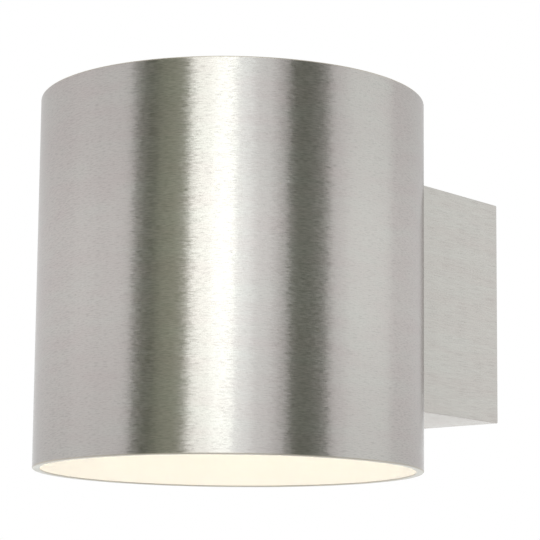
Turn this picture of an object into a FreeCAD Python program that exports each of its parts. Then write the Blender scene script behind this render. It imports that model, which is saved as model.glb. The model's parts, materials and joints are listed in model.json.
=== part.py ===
# Tube wall light: a short round tube, open above and below, that a square box carries in
# front of the wall. A two-pin capsule lamp lies across the middle of the tube.
#
# Sizes are in millimetres. The origin lies on the wall, behind the middle of the box.
# +X is to the right for someone in the room, +Y goes into the wall and +Z is up.
import FreeCAD
import Part
import math
import os
from FreeCAD import Vector

# Tube
tube_diameter = 100.0
tube_wall = 2.0
tube_height = 96.0
wall_to_tube_axis = 78.0
rim_chamfer = 0.3

# Box between the tube and the wall
box_width = 60.0
box_height = 61.0
box_wall = 2.0
saddle_wall = 2.5              # the concave front wall, which the tube lies in
saddle_gap = 0.1               # between the tube and that wall
box_outer_corner = 0.5
box_inner_corner = 1.2

# Wall bracket, bent from sheet
bracket_sheet = 1.5
bracket_side_gap = 1.0         # between the plate and each side of the box
bracket_corner = 3.0
bracket_gap = 0.3              # between a tab and the inside of the box
tab_width = 20.0
tab_length = 16.0
tab_relief = 3.5               # the plate ends this far inside the outer face of a tab
sheet_bend = 1.5               # inside radius of every bend in sheet
box_screw_from_wall = 10.0
wall_slot_spacing = 40.0
wall_slot_length = 8.0
wall_slot_width = 4.5

# Cable entry
cable_hole_diameter = 12.0
cable_hole_below_middle = 14.0
grommet_bore = 8.0
grommet_flange_diameter = 16.0
grommet_flange_height = 2.5

# Earth point
earth_right_of_middle = 19.0
earth_below_middle = 17.0
collar_diameter = 6.8
collar_height = 2.2
tooth_count = 8
toothed_washer_diameter = 7.8
toothed_washer_thickness = 0.6
lug_diameter = 7.8
lug_thickness = 0.8
lug_barrel_diameter = 3.8
lug_barrel_length = 6.0
lug_neck_length = 2.0

# Terminal block
pole_count = 3
pole_pitch = 10.5
pole_width = 8.4
pole_rounding = 2.5
block_length = 17.0
block_depth = 12.5
block_base = 3.0
block_above_middle = 5.5
insert_diameter = 4.4
insert_bore = 2.8
insert_length = 13.0
insert_above_plate = 5.6
clamp_screw_pitch = 7.6
clamp_screw_diameter = 3.0
clamp_screw_length = 5.0
clamp_shaft_diameter = 4.0
wire_entry_diameter = 3.4

# Screws, nuts and washers
m4_diameter = 4.0
m4_head_diameter = 7.8
m4_head_height = 2.4
m3_diameter = 3.0
m3_head_diameter = 5.5
m3_head_height = 2.0
m25_diameter = 2.5
m25_head_diameter = 4.6
m25_head_height = 1.7
head_rounding = 0.45           # share of a head's height that its edge rounds off
slot_width = 0.9
slot_depth = 0.5               # share of a head's height
nut_across_flats = 7.0
nut_height = 3.2
washer_diameter = 8.6
washer_thickness = 0.8
box_screw_length = 6.0
tube_screw_length = 12.0
tube_screw_above_middle = 22.0
holder_screw_length = 6.0
block_screw_length = 4.2
thread_gap = 0.05              # between a screw and the thread it turns in
hole_gap = 0.25                # between a screw and a plain hole
close_gap = 0.05               # between parts that are pushed together

# Bush where the wires pass from the box into the tube
bush_diameter = 12.0
bush_bore = 9.6
bush_flange_diameter = 15.0
bush_flange_thickness = 1.5
bush_lip = 0.5
bush_lip_length = 1.2
bush_gap = 0.2

# Strip that carries the lampholder inside the tube
strip_sheet = 1.5
strip_width = 16.0
strip_stand_off = 8.5          # clear space between the tube and the strip's middle
strip_leg_above_middle = 15.5
strip_foot_end = 28.0
window_gap = 0.3               # round the back of the lampholder

# Lampholder
holder_width = 18.0
holder_thickness = 11.0
holder_length = 16.0
holder_rounding = 3.0
holder_flange_length = 25.0
holder_flange_width = 10.0
holder_flange_thickness = 3.5
holder_screw_pitch = 19.0
holder_back_width = 14.0
holder_back_thickness = 8.0
holder_back_length = 3.0
lamp_recess_depth = 4.0
pin_pocket_gap = 0.3           # all round a lamp pin and its contact
contact_sheet = 0.4
contact_width = 2.6
contact_length = 8.0
contact_gap = 0.06             # between a lamp pin and each leaf that holds it
ferrule_diameter = 3.0
ferrule_length = 3.5

# Wires
wire_diameter = 2.2
wire_spacing = 6.0             # between the live and neutral wires inside the bush
wire_rise = 5.5                # how far the wires climb above the terminal block
wire_bend = 5.5                # largest bend beside a straight stretch
earth_wire_from_side = 4.0     # between the earth wire and the inside of the box
sleeve_diameter = 3.2
sleeve_bore = 2.5
sleeve_to_holder = 1.0

# Lamp
lamp_diameter = 14.0
lamp_glass = 1.0
lamp_bulb_length = 34.0
lamp_tip_rounding = 5.5
lamp_shoulder = 5.0
pinch_length = 9.0
pinch_width = 12.0
pinch_thickness = 4.6
lamp_gap = 0.3                 # between the lamp and the lampholder's sides
lamp_seat_gap = 0.2            # between the lamp's foot and the bottom of its recess
pin_pitch = 9.0
pin_wire = 0.9
pin_loop_width = 2.9
pin_length = 8.5
support_wire = 0.5
filament_coil = 1.1
filament_leg_spacing = 2.0
filament_length = 15.0
filament_dip = 4.0             # the middle bend stands this far above the filament's ends

# Places that follow from the sizes
tube_radius = tube_diameter / 2
bore_radius = tube_radius - tube_wall
tube_axis_y = -wall_to_tube_axis
saddle_radius = tube_radius + saddle_gap
saddle_back_radius = saddle_radius + saddle_wall
saddle_back_y = tube_axis_y + saddle_back_radius
strip_outer_radius = bore_radius - close_gap
strip_inner_radius = strip_outer_radius - strip_sheet
strip_back_y = tube_axis_y + bore_radius - strip_stand_off
strip_front_y = strip_back_y - strip_sheet
tab_face_z = box_height / 2 - box_wall - bracket_gap
insert_y = -bracket_sheet - insert_above_plate
block_top_z = block_above_middle + block_length / 2
pole_places = [(i - (pole_count - 1) / 2) * pole_pitch for i in range(pole_count)]
block_screw_places = [(a + b) / 2 for a, b in zip(pole_places, pole_places[1:])]
earth_centre = Vector(earth_right_of_middle, 0, -earth_below_middle)
washer_seat_y = tube_axis_y + math.sqrt(strip_inner_radius ** 2 - (washer_diameter / 2) ** 2)
holder_front_y = strip_front_y - holder_length
lamp_seat_y = holder_front_y + lamp_recess_depth
lamp_foot_y = lamp_seat_y - lamp_seat_gap
pinch_end_y = lamp_foot_y - pinch_length
lamp_tip_y = pinch_end_y - lamp_bulb_length
bulb_floor_y = pinch_end_y - lamp_glass
wire_front_y = (-bracket_sheet - block_depth + saddle_back_y) / 2
sides = (-1, 1)
up = Vector(0, 0, 1)
into_wall = Vector(0, 1, 0)
into_room = Vector(0, -1, 0)
rightward = Vector(1, 0, 0)


def block(x_low, x_high, y_low, y_high, z_low, z_high):
    size = (x_high - x_low, y_high - y_low, z_high - z_low)
    return Part.makeBox(*size, Vector(x_low, y_low, z_low))


def rod(radius, start, end):
    return Part.makeCylinder(radius, (end - start).Length, start, end - start)


def cross_rod(radius, x, z, y_start, y_end):
    """A rod square to the wall."""
    return rod(radius, Vector(x, y_start, z), Vector(x, y_end, z))


def bent_path(points, bends, closed=False):
    """Straight lines through the points, with a tangent arc where a bend radius is given."""
    count = len(points)
    starts, ends, arcs = [], [], []
    for i, point in enumerate(points):
        at_end = not closed and i in (0, count - 1)
        if at_end or bends[i] == 0:
            starts.append(point)
            ends.append(point)
            arcs.append(None)
            continue
        before = (point - points[i - 1]).normalize()
        after = (points[(i + 1) % count] - point).normalize()
        half_turn = before.getAngle(after) / 2
        reach = bends[i] * math.tan(half_turn)
        inward = (after - before).normalize()
        middle = point + inward * (bends[i] / math.cos(half_turn) - bends[i])
        starts.append(point - before * reach)
        ends.append(point + after * reach)
        arcs.append(Part.Arc(starts[-1], middle, ends[-1]).toShape())
    edges = []
    for i in range(count):
        if arcs[i]:
            edges.append(arcs[i])
        following = (i + 1) % count
        if following == 0 and not closed:
            break
        if (starts[following] - ends[i]).Length > 1e-6:
            edges.append(Part.LineSegment(ends[i], starts[following]).toShape())
    return Part.Wire(edges)


def prism(points, bends, sweep):
    """A flat outline with rounded corners, pushed along the sweep vector."""
    return Part.Face(bent_path(points, bends, closed=True)).extrude(sweep)


def slab(half_x, half_z, bend, y_start, y_end):
    """A rounded rectangle in the wall's plane, between two distances from the wall."""
    corners = [(-1, -1), (1, -1), (1, 1), (-1, 1)]
    points = [Vector(half_x * x, y_start, half_z * z) for x, z in corners]
    return prism(points, [bend] * 4, into_wall * (y_end - y_start))


def side_view(outline, width):
    """A solid with one outline of (y, z, bend) seen from the side, centred on the middle."""
    points = [Vector(-width / 2, y, z) for y, z, bend in outline]
    return prism(points, [bend for y, z, bend in outline], rightward * width)


def turned(profile, start, axis):
    """A turned solid. The profile holds (radius, distance along the axis, bend)."""
    outward = rightward if abs(axis.z) > 0.5 else up
    points = [start + outward * radius + axis * along for radius, along, bend in profile]
    outline = bent_path(points, [bend for radius, along, bend in profile], closed=True)
    return Part.Face(outline).revolve(start, axis, 360)


def drilled(solid, tools):
    for tool in tools:
        solid = solid.cut(tool)
    return solid


def joined(solids):
    whole = solids[0].multiFuse(solids[1:])
    return whole.removeSplitter()


def screw(seat, direction, diameter, head_diameter, head_height, length):
    """A pan head screw. The seat is the point under its head, the direction is its shank's."""
    bend = head_height * head_rounding
    tip = diameter / 8
    profile = [(0, -head_height, 0), (head_diameter / 2, -head_height, bend),
               (head_diameter / 2, 0, 0), (diameter / 2, 0, 0), (diameter / 2, length - tip, 0),
               (diameter / 2 - tip, length, 0), (0, length, 0)]
    body = turned(profile, seat, direction)
    along = rightward
    across = direction.cross(along)
    for long_way, short_way in ((along, across), (across, along)):
        long_side = long_way * head_diameter * 0.3
        short_side = short_way * slot_width / 2
        middle = seat - direction * head_height * (1 - slot_depth)
        corners = [middle + long_side + short_side, middle - long_side + short_side,
                   middle - long_side - short_side, middle + long_side - short_side]
        body = body.cut(prism(corners, [0] * 4, direction * -head_height))
    return body


def m4_screw(seat, direction, length):
    return screw(seat, direction, m4_diameter, m4_head_diameter, m4_head_height, length)


def flat_ring(diameter, hole_diameter, thickness, start, axis):
    profile = [(hole_diameter / 2, 0, 0), (diameter / 2, 0, 0),
               (diameter / 2, thickness, 0), (hole_diameter / 2, thickness, 0)]
    return turned(profile, start, axis)


def bend_limits(points, largest):
    """The bend at each point: 0.45 of its shorter run, and no more than the largest."""
    bends = [0.0]
    for before, point, after in zip(points, points[1:], points[2:]):
        half_turn = (point - before).getAngle(after - point) / 2
        run = min((point - before).Length, (after - point).Length)
        bends.append(min(largest, 0.45 * run / math.tan(half_turn)))
    return bends + [0.0]


def round_wire(points, bends, diameter):
    path = bent_path(points, bends)
    start_way = points[1] - points[0]
    section = Part.Wire(Part.makeCircle(diameter / 2, points[0], start_way))
    return path.makePipeShell([section], True, False)


# The shade and the box

def tube_shade():
    half = tube_height / 2
    profile = [(bore_radius + rim_chamfer, -half, 0), (tube_radius - rim_chamfer, -half, 0),
               (tube_radius, -half + rim_chamfer, 0), (tube_radius, half - rim_chamfer, 0),
               (tube_radius - rim_chamfer, half, 0), (bore_radius + rim_chamfer, half, 0),
               (bore_radius, half - rim_chamfer, 0), (bore_radius, -half + rim_chamfer, 0)]
    tube = turned(profile, Vector(0, tube_axis_y, 0), up)
    return drilled(tube, seat_holes())


def seat_holes():
    """Holes that the tube and the box share: two for screws, one for the wires."""
    radius = m4_diameter / 2 + hole_gap
    holes = [cross_rod(radius, 0, tube_screw_above_middle * side, tube_axis_y, 0)
             for side in sides]
    holes.append(cross_rod(bush_diameter / 2 + bush_gap, 0, 0, tube_axis_y, 0))
    return holes


def wall_box():
    half_x, half_z = box_width / 2, box_height / 2
    reach = saddle_back_radius + wall_to_tube_axis
    outside = slab(half_x, half_z, box_outer_corner, tube_axis_y, 0)
    inside = slab(half_x - box_wall, half_z - box_wall, box_inner_corner, tube_axis_y, 1)
    low, high = Vector(0, tube_axis_y, -reach), Vector(0, tube_axis_y, reach)
    outside = outside.cut(rod(saddle_radius, low, high))
    inside = inside.cut(rod(saddle_back_radius, low, high))
    screw_hole = rod(m4_diameter / 2 + hole_gap, Vector(0, -box_screw_from_wall, -box_height),
                     Vector(0, -box_screw_from_wall, box_height))
    return drilled(outside, [inside, screw_hole] + seat_holes())


def box_screws():
    seats = [Vector(0, -box_screw_from_wall, box_height / 2 * side) for side in sides]
    return [m4_screw(seat, up * -side, box_screw_length) for seat, side in zip(seats, sides)]


# The wall bracket and its earth point

def wall_bracket():
    outer_bend = sheet_bend + bracket_sheet
    top, under = tab_face_z, tab_face_z - bracket_sheet
    outline = [(-tab_length, -top, 0), (0, -top, outer_bend), (0, top, outer_bend),
               (-tab_length, top, 0), (-tab_length, under, 0),
               (-bracket_sheet, under, sheet_bend), (-bracket_sheet, -under, sheet_bend),
               (-tab_length, -under, 0)]
    strip = side_view(outline, tab_width)
    plate_half = box_width / 2 - box_wall - bracket_side_gap
    plate = slab(plate_half, top - tab_relief, bracket_corner, -bracket_sheet, 0)
    collar_end = -bracket_sheet - collar_height
    collar = cross_rod(collar_diameter / 2, earth_centre.x, earth_centre.z, 0, collar_end)
    m4_thread = m4_diameter / 2 + thread_gap
    earth_hole = cross_rod(m4_thread, earth_centre.x, earth_centre.z, 1, collar_end - 1)
    tab_hole = rod(m4_thread, Vector(0, -box_screw_from_wall, -box_height),
                   Vector(0, -box_screw_from_wall, box_height))
    cable_hole = cross_rod(cable_hole_diameter / 2, 0, -cable_hole_below_middle,
                           1, -bracket_sheet - 1)
    block_holes = [cross_rod(m25_diameter / 2 + thread_gap, x, block_above_middle,
                             1, -bracket_sheet - 1) for x in block_screw_places]
    slots = []
    for side in sides:
        slot = slab(wall_slot_length / 2, wall_slot_width / 2, wall_slot_width / 2 - 0.001,
                    -bracket_sheet - 1, 1)
        slots.append(slot.translated(rightward * side * wall_slot_spacing / 2))
    body = joined([strip, plate, collar])
    return drilled(body, [earth_hole, tab_hole, cable_hole] + block_holes + slots)


def cable_grommet():
    neck = cable_hole_diameter / 2 - close_gap
    flange = grommet_flange_diameter / 2
    bore = grommet_bore / 2
    end = bracket_sheet + grommet_flange_height
    profile = [(bore, 0, 0), (neck, 0, 0), (neck, bracket_sheet, 0), (flange, bracket_sheet, 0),
               (flange, end, grommet_flange_height / 2), (bore, end, 0)]
    return turned(profile, Vector(0, 0, -cable_hole_below_middle), into_room)


def earth_washer():
    """A ring with slanted teeth round its edge."""
    start_y = -bracket_sheet - collar_height
    outer = toothed_washer_diameter / 2
    inner = outer * 0.8
    points = []
    for i in range(2 * tooth_count):
        radius = inner if i % 2 else outer
        turn = math.pi * i / tooth_count
        points.append(earth_centre + Vector(radius * math.cos(turn), start_y,
                                            radius * math.sin(turn)))
    star = prism(points, [0] * len(points), into_room * toothed_washer_thickness)
    hole = cross_rod(m4_diameter / 2 + hole_gap, earth_centre.x, earth_centre.z,
                     0, start_y - toothed_washer_thickness - 1)
    return star.cut(hole)


def earth_seat():
    """The centre of the ring lug's back face, on the toothed washer."""
    return earth_centre + into_room * (bracket_sheet + collar_height + toothed_washer_thickness)


def lug_barrel_ends():
    """The two ends of the crimped barrel, on its axis, from the ring upwards."""
    lift = into_room * (lug_barrel_diameter / 2)
    low = earth_seat() + lift + up * (lug_diameter / 2 + lug_neck_length)
    return low, low + up * lug_barrel_length


def earth_lug():
    seat = earth_seat()
    low, high = lug_barrel_ends()
    ring = rod(lug_diameter / 2, seat, seat + into_room * lug_thickness)
    half = lug_barrel_diameter / 2
    neck = block(seat.x - half * 0.8, seat.x + half * 0.8, seat.y - lug_thickness, seat.y,
                 seat.z, low.z + lug_barrel_length / 3)
    barrel = rod(half, low, high)
    bore = rod(wire_diameter / 2 + close_gap, low - up, high + up)
    bolt_hole = rod(m4_diameter / 2 + hole_gap, seat - into_room, seat + into_room * 2)
    return drilled(joined([ring, neck, barrel]), [bore, bolt_hole])


def earth_screw():
    seat = earth_seat() + into_room * lug_thickness
    return m4_screw(seat, into_wall, -seat.y - hole_gap)


# The terminal block

def terminal_block():
    back = -bracket_sheet
    low_z = block_above_middle - block_length / 2
    half_width = pole_width / 2
    base = block(pole_places[0] - half_width, pole_places[-1] + half_width,
                 back - block_base, back, low_z, block_top_z)
    poles = []
    cuts = []
    for x in pole_places:
        corners = [Vector(x - half_width, back, low_z), Vector(x + half_width, back, low_z),
                   Vector(x + half_width, back - block_depth, low_z),
                   Vector(x - half_width, back - block_depth, low_z)]
        bends = [0, 0, pole_rounding, pole_rounding]
        poles.append(prism(corners, bends, up * block_length))
        cuts.append(rod(wire_entry_diameter / 2, Vector(x, insert_y, low_z - 1),
                        Vector(x, insert_y, block_top_z + 1)))
        half_insert = insert_length / 2 + close_gap
        middle = Vector(x, insert_y, block_above_middle)
        cuts.append(rod(insert_diameter / 2 + close_gap, middle - up * half_insert,
                        middle + up * half_insert))
        for side in sides:
            z = block_above_middle + side * clamp_screw_pitch / 2
            cuts.append(cross_rod(clamp_shaft_diameter / 2, x, z, insert_y, back - block_depth - 1))
    for x in block_screw_places:
        cuts.append(cross_rod(m25_diameter / 2 + hole_gap, x, block_above_middle,
                              1, back - block_depth))
        cuts.append(cross_rod(m25_head_diameter / 2 + hole_gap, x, block_above_middle,
                              back - block_base, back - block_depth - 1))
    return drilled(joined([base] + poles), cuts)


def terminal_inserts():
    inserts = []
    for x in pole_places:
        middle = Vector(x, insert_y, block_above_middle)
        half = up * insert_length / 2
        body = rod(insert_diameter / 2, middle - half, middle + half)
        cuts = [rod(insert_bore / 2, middle - half * 2, middle + half * 2)]
        for side in sides:
            z = block_above_middle + side * clamp_screw_pitch / 2
            cuts.append(cross_rod(clamp_screw_diameter / 2 + thread_gap, x, z,
                                  insert_y, insert_y - insert_diameter))
        inserts.append(drilled(body, cuts))
    return inserts


def terminal_screws():
    screws = []
    tip_y = insert_y - wire_diameter / 2 - thread_gap
    outer_y = tip_y - clamp_screw_length
    for x in pole_places:
        for side in sides:
            z = block_above_middle + side * clamp_screw_pitch / 2
            body = cross_rod(clamp_screw_diameter / 2, x, z, tip_y, outer_y)
            half_long, half_wide = clamp_screw_diameter, slot_width / 2
            slot = block(x - half_long, x + half_long, outer_y - 1, outer_y + slot_width,
                         z - half_wide, z + half_wide)
            screws.append(body.cut(slot))
    return screws


def block_screws():
    seat_y = -bracket_sheet - block_base
    return [screw(Vector(x, seat_y, block_above_middle), into_wall, m25_diameter,
                  m25_head_diameter, m25_head_height, block_screw_length)
            for x in block_screw_places]


# What holds the tube on the box

def tube_screws():
    seat_y = washer_seat_y - washer_thickness
    return [m4_screw(Vector(0, seat_y, tube_screw_above_middle * side), into_wall,
                     tube_screw_length) for side in sides]


def tube_washers():
    return [flat_ring(washer_diameter, m4_diameter + 2 * hole_gap, washer_thickness,
                      Vector(0, washer_seat_y, tube_screw_above_middle * side), into_room)
            for side in sides]


def tube_nuts():
    nuts = []
    corner = nut_across_flats / 2 / math.cos(math.pi / 6)
    seat_y = saddle_back_y + close_gap
    for side in sides:
        z = tube_screw_above_middle * side
        points = [Vector(corner * math.cos(math.pi * i / 3), seat_y,
                         z + corner * math.sin(math.pi * i / 3)) for i in range(6)]
        body = prism(points, [0] * 6, into_wall * nut_height)
        nuts.append(body.cut(cross_rod(m4_diameter / 2 + thread_gap, 0, z, tube_axis_y, 0)))
    return nuts


def wire_bush():
    """A snap-in bush: flange inside the tube, lip inside the box."""
    flange = bush_flange_diameter / 2
    seat_y = tube_axis_y + math.sqrt(bore_radius ** 2 - flange ** 2) - close_gap
    lip_y = saddle_back_y + close_gap
    neck, bore = bush_diameter / 2, bush_bore / 2
    neck_length = lip_y - seat_y
    end = neck_length + bush_lip_length
    lip = neck + bush_gap + bush_lip
    profile = [(bore, -bush_flange_thickness, bush_flange_thickness / 3),
               (flange, -bush_flange_thickness, bush_flange_thickness / 2), (flange, 0, 0),
               (neck, 0, 0), (neck, neck_length, 0), (lip, neck_length, 0), (neck, end, 0),
               (bore, end, 0)]
    return turned(profile, Vector(0, seat_y, 0), into_wall)


# Lamp carrier inside the tube

def lamp_bracket():
    """A strip bent forward in the middle, with two feet curved to the tube's bore."""
    top, under = strip_leg_above_middle, strip_leg_above_middle - strip_sheet
    outer_bend = sheet_bend + strip_sheet
    wall_y = tube_axis_y + tube_radius
    outline = [(wall_y, -top, 0), (strip_front_y, -top, outer_bend),
               (strip_front_y, top, outer_bend), (wall_y, top, 0), (wall_y, under, 0),
               (strip_back_y, under, sheet_bend), (strip_back_y, -under, sheet_bend),
               (wall_y, -under, 0)]
    low = Vector(0, tube_axis_y, -strip_foot_end)
    high = Vector(0, tube_axis_y, strip_foot_end)
    within_bore = rod(strip_outer_radius, low, high)
    middle = side_view(outline, strip_width).common(within_bore)
    shell = within_bore.cut(rod(strip_inner_radius, low, high))
    half = strip_width / 2
    feet = []
    for side in sides:
        z_low, z_high = sorted((side * under, side * strip_foot_end))
        feet.append(shell.common(block(-half, half, tube_axis_y, wall_y, z_low, z_high)))
    body = joined([middle] + feet)
    window = slab(holder_back_width / 2 + window_gap, holder_back_thickness / 2 + window_gap,
                  holder_back_thickness / 2, strip_front_y - 1, strip_back_y + 1)
    cuts = [window]
    for side in sides:
        cuts.append(cross_rod(m4_diameter / 2 + hole_gap, 0, tube_screw_above_middle * side,
                              tube_axis_y, wall_y))
        cuts.append(cross_rod(m3_diameter / 2 + thread_gap, 0, holder_screw_pitch / 2 * side,
                              strip_front_y - 1, strip_back_y + 1))
    return drilled(body, cuts)


def lamp_recess():
    """The space that the lamp's flat foot needs in the lampholder's face."""
    radius = pinch_width / 2 + lamp_gap
    half_thickness = pinch_thickness / 2 + lamp_gap
    outer_y = holder_front_y - 1
    bar = cross_rod(radius, 0, 0, outer_y, lamp_seat_y)
    return bar.common(block(-radius, radius, outer_y, lamp_seat_y, -half_thickness,
                            half_thickness))


def holder_body():
    front = slab(holder_width / 2, holder_thickness / 2, holder_rounding,
                 holder_front_y, strip_front_y)
    flange = slab(holder_flange_width / 2, holder_flange_length / 2, holder_rounding,
                  strip_front_y - holder_flange_thickness, strip_front_y)
    back = slab(holder_back_width / 2, holder_back_thickness / 2,
                holder_back_thickness / 2 - 0.001, strip_front_y, strip_front_y + holder_back_length)
    cuts = [lamp_recess()]
    half_x = max(pin_loop_width, contact_width) / 2 + pin_pocket_gap
    half_z = pin_wire / 2 + contact_gap + contact_sheet + pin_pocket_gap
    pocket_end = contact_back_y() + pin_pocket_gap
    for side in sides:
        x = pin_pitch / 2 * side
        inner = min(abs(x) - half_x, wire_spacing / 2 - ferrule_diameter / 2 - pin_pocket_gap)
        x_low, x_high = sorted((side * inner, side * (abs(x) + half_x)))
        cuts.append(block(x - half_x, x + half_x, lamp_seat_y - 1, pocket_end, -half_z, half_z))
        cuts.append(block(x_low, x_high, contact_back_y() - contact_sheet - pin_pocket_gap,
                          pocket_end, -half_z, half_z))
        cuts.append(cross_rod(ferrule_diameter / 2 + close_gap, side * wire_spacing / 2, 0,
                              contact_back_y() - contact_sheet, 0))
        cuts.append(cross_rod(m3_diameter / 2 + hole_gap, 0, holder_screw_pitch / 2 * side,
                              holder_front_y, 0))
    return drilled(joined([front, flange, back]), cuts)


def contact_back_y():
    """The back of the contacts, behind the tips of the lamp's pins."""
    return lamp_foot_y + pin_length + pin_pocket_gap + contact_sheet


def holder_contacts():
    """Each contact: two leaves that grip a pin, a back strip and a ferrule for the wire."""
    contacts = []
    inner = pin_wire / 2 + contact_gap
    outer = inner + contact_sheet
    back = contact_back_y()
    front = back - contact_length
    outline = [(front, inner, 0), (back - contact_sheet, inner, 0),
               (back - contact_sheet, -inner, 0), (front, -inner, 0), (front, -outer, 0),
               (back, -outer, contact_sheet), (back, outer, contact_sheet), (front, outer, 0)]
    for side in sides:
        clip = side_view(outline, contact_width).translated(rightward * side * pin_pitch / 2)
        x_low, x_high = sorted((side * wire_spacing / 2, side * pin_pitch / 2))
        strip = block(x_low, x_high, back - contact_sheet, back, -inner, inner)
        x = side * wire_spacing / 2
        ferrule = cross_rod(ferrule_diameter / 2, x, 0, back - contact_sheet,
                            back + ferrule_length)
        bore = cross_rod(wire_diameter / 2 + close_gap, x, 0, back, back + ferrule_length + 1)
        contacts.append(joined([clip, strip, ferrule]).cut(bore))
    return contacts


def holder_screws():
    seat_y = strip_front_y - holder_flange_thickness
    return [screw(Vector(0, seat_y, holder_screw_pitch / 2 * side), into_wall, m3_diameter,
                  m3_head_diameter, m3_head_height, holder_screw_length) for side in sides]


# Wires and sleeves

def supply_wire(pole_x, side):
    """From a pole of the block, over its top and down in front, and on to the lampholder."""
    x = side * wire_spacing / 2
    top = block_top_z + wire_rise
    points = [Vector(pole_x, insert_y, block_above_middle), Vector(pole_x, insert_y, top),
              Vector(pole_x + (x - pole_x) * 0.3, wire_front_y, top),
              Vector(x, wire_front_y, 0), Vector(x, contact_back_y(), 0)]
    return round_wire(points, bend_limits(points, wire_bend), wire_diameter)


def live_wire():
    return supply_wire(pole_places[0], -1)


def neutral_wire():
    return supply_wire(pole_places[1], 1)


def earth_wire():
    """From the last pole, over the block's top corner and down to the ring lug."""
    start = Vector(pole_places[-1], insert_y, block_above_middle)
    low, high = lug_barrel_ends()
    side_x = box_width / 2 - box_wall - earth_wire_from_side
    top = block_top_z + wire_rise
    points = [start, Vector(start.x, insert_y, top), Vector(side_x, insert_y, top),
              Vector(side_x, insert_y, high.z + 2 * lug_barrel_length),
              Vector(high.x, high.y, high.z + lug_barrel_length), low]
    return round_wire(points, bend_limits(points, wire_bend), wire_diameter)


def heat_sleeves():
    """Sleeves over the wires' straight ends, through the bush and up to the lampholder."""
    start_y = wire_front_y - wire_bend - close_gap
    end_y = strip_front_y + holder_back_length + sleeve_to_holder
    sleeves = []
    for side in sides:
        x = side * wire_spacing / 2
        outside = cross_rod(sleeve_diameter / 2, x, 0, start_y, end_y)
        sleeves.append(outside.cut(cross_rod(sleeve_bore / 2, x, 0, start_y, end_y)))
    return sleeves


# The lamp, which pulls out of its holder

def bulb_shape(radius, foot_radius, half_pinch, start_y, shoulder_y, tip_y, rounding):
    """A round bulb whose foot is pinched flat. It tapers between start_y and shoulder_y."""
    foot_y = lamp_foot_y
    profile = [(0, 0, 0), (foot_radius, 0, 0), (foot_radius, foot_y - start_y, 0),
               (radius, foot_y - shoulder_y, 0), (radius, foot_y - tip_y, rounding),
               (0, foot_y - tip_y, 0)]
    round_body = turned(profile, Vector(0, foot_y, 0), into_room)
    outline = [(foot_y, -half_pinch, 0), (start_y, -half_pinch, 0), (shoulder_y, -radius, 0),
               (tip_y, -radius, 0), (tip_y, radius, 0), (shoulder_y, radius, 0),
               (start_y, half_pinch, 0), (foot_y, half_pinch, 0)]
    return round_body.common(side_view(outline, 2 * radius))


def lamp_glass_body():
    shoulder_y = pinch_end_y - lamp_shoulder
    radius = lamp_diameter / 2
    outside = bulb_shape(radius, pinch_width / 2, pinch_thickness / 2, pinch_end_y, shoulder_y,
                         lamp_tip_y, lamp_tip_rounding)
    inside = bulb_shape(radius - lamp_glass, pinch_width / 2 - lamp_glass,
                        pinch_thickness / 2 - lamp_glass, pinch_end_y, shoulder_y,
                        lamp_tip_y + lamp_glass, lamp_tip_rounding - lamp_glass)
    pinch = block(-lamp_diameter, lamp_diameter, bulb_floor_y, 0, -lamp_diameter, lamp_diameter)
    return outside.cut(inside.cut(pinch))


def lamp_pins():
    """Two loops of wire, in the plane of the pinch."""
    half = (pin_loop_width - pin_wire) / 2
    loops = []
    for side in sides:
        x = side * pin_pitch / 2
        tip_y = lamp_foot_y + pin_length - pin_wire / 2
        points = [Vector(x - half, lamp_foot_y, 0), Vector(x - half, tip_y, 0),
                  Vector(x + half, tip_y, 0), Vector(x + half, lamp_foot_y, 0)]
        loops.append(round_wire(points, [0, half - 0.001, half - 0.001, 0], pin_wire))
    return loops


def filament_ends():
    """How near the wall the filament's ends are, how far out its bends, and its dip."""
    middle_y = (bulb_floor_y + lamp_tip_y) / 2
    near = middle_y + filament_length / 2
    return near, near - filament_length, near - filament_dip


def lamp_filament():
    """Four legs side by side, joined by half turns."""
    near, far, dip = filament_ends()
    turns = [(-1.5, near), (-1.5, far), (-0.5, far), (-0.5, dip),
             (0.5, dip), (0.5, far), (1.5, far), (1.5, near)]
    points = [Vector(place * filament_leg_spacing, y, 0) for place, y in turns]
    half_turn = filament_leg_spacing / 2 - 0.001
    return round_wire(points, [0] + [half_turn] * 6 + [0], filament_coil)


def lamp_supports():
    """Two leads to the filament's ends, and a T behind it that holds its far bends."""
    near, far, dip = filament_ends()
    radius = support_wire / 2
    leads = [cross_rod(radius, 1.5 * filament_leg_spacing * side, 0, bulb_floor_y, near)
             for side in sides]
    z = filament_coil / 2 + radius + close_gap
    stem = cross_rod(radius, 0, z, bulb_floor_y, far)
    bar_end = rightward * filament_leg_spacing
    bar = rod(radius, Vector(0, far, z) - bar_end, Vector(0, far, z) + bar_end)
    return leads + [joined([stem, bar])]


parts = {
    "tube_shade": tube_shade,
    "wall_box": wall_box,
    "box_screws": box_screws,
    "wall_bracket": wall_bracket,
    "cable_grommet": cable_grommet,
    "earth_washer": earth_washer,
    "earth_lug": earth_lug,
    "earth_screw": earth_screw,
    "terminal_block": terminal_block,
    "terminal_inserts": terminal_inserts,
    "terminal_screws": terminal_screws,
    "block_screws": block_screws,
    "tube_screws": tube_screws,
    "tube_washers": tube_washers,
    "tube_nuts": tube_nuts,
    "wire_bush": wire_bush,
    "lamp_bracket": lamp_bracket,
    "holder_body": holder_body,
    "holder_contacts": holder_contacts,
    "holder_screws": holder_screws,
    "live_wire": live_wire,
    "neutral_wire": neutral_wire,
    "earth_wire": earth_wire,
    "heat_sleeves": heat_sleeves,
    "lamp_glass": lamp_glass_body,
    "lamp_pins": lamp_pins,
    "lamp_filament": lamp_filament,
    "lamp_supports": lamp_supports,
}

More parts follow.
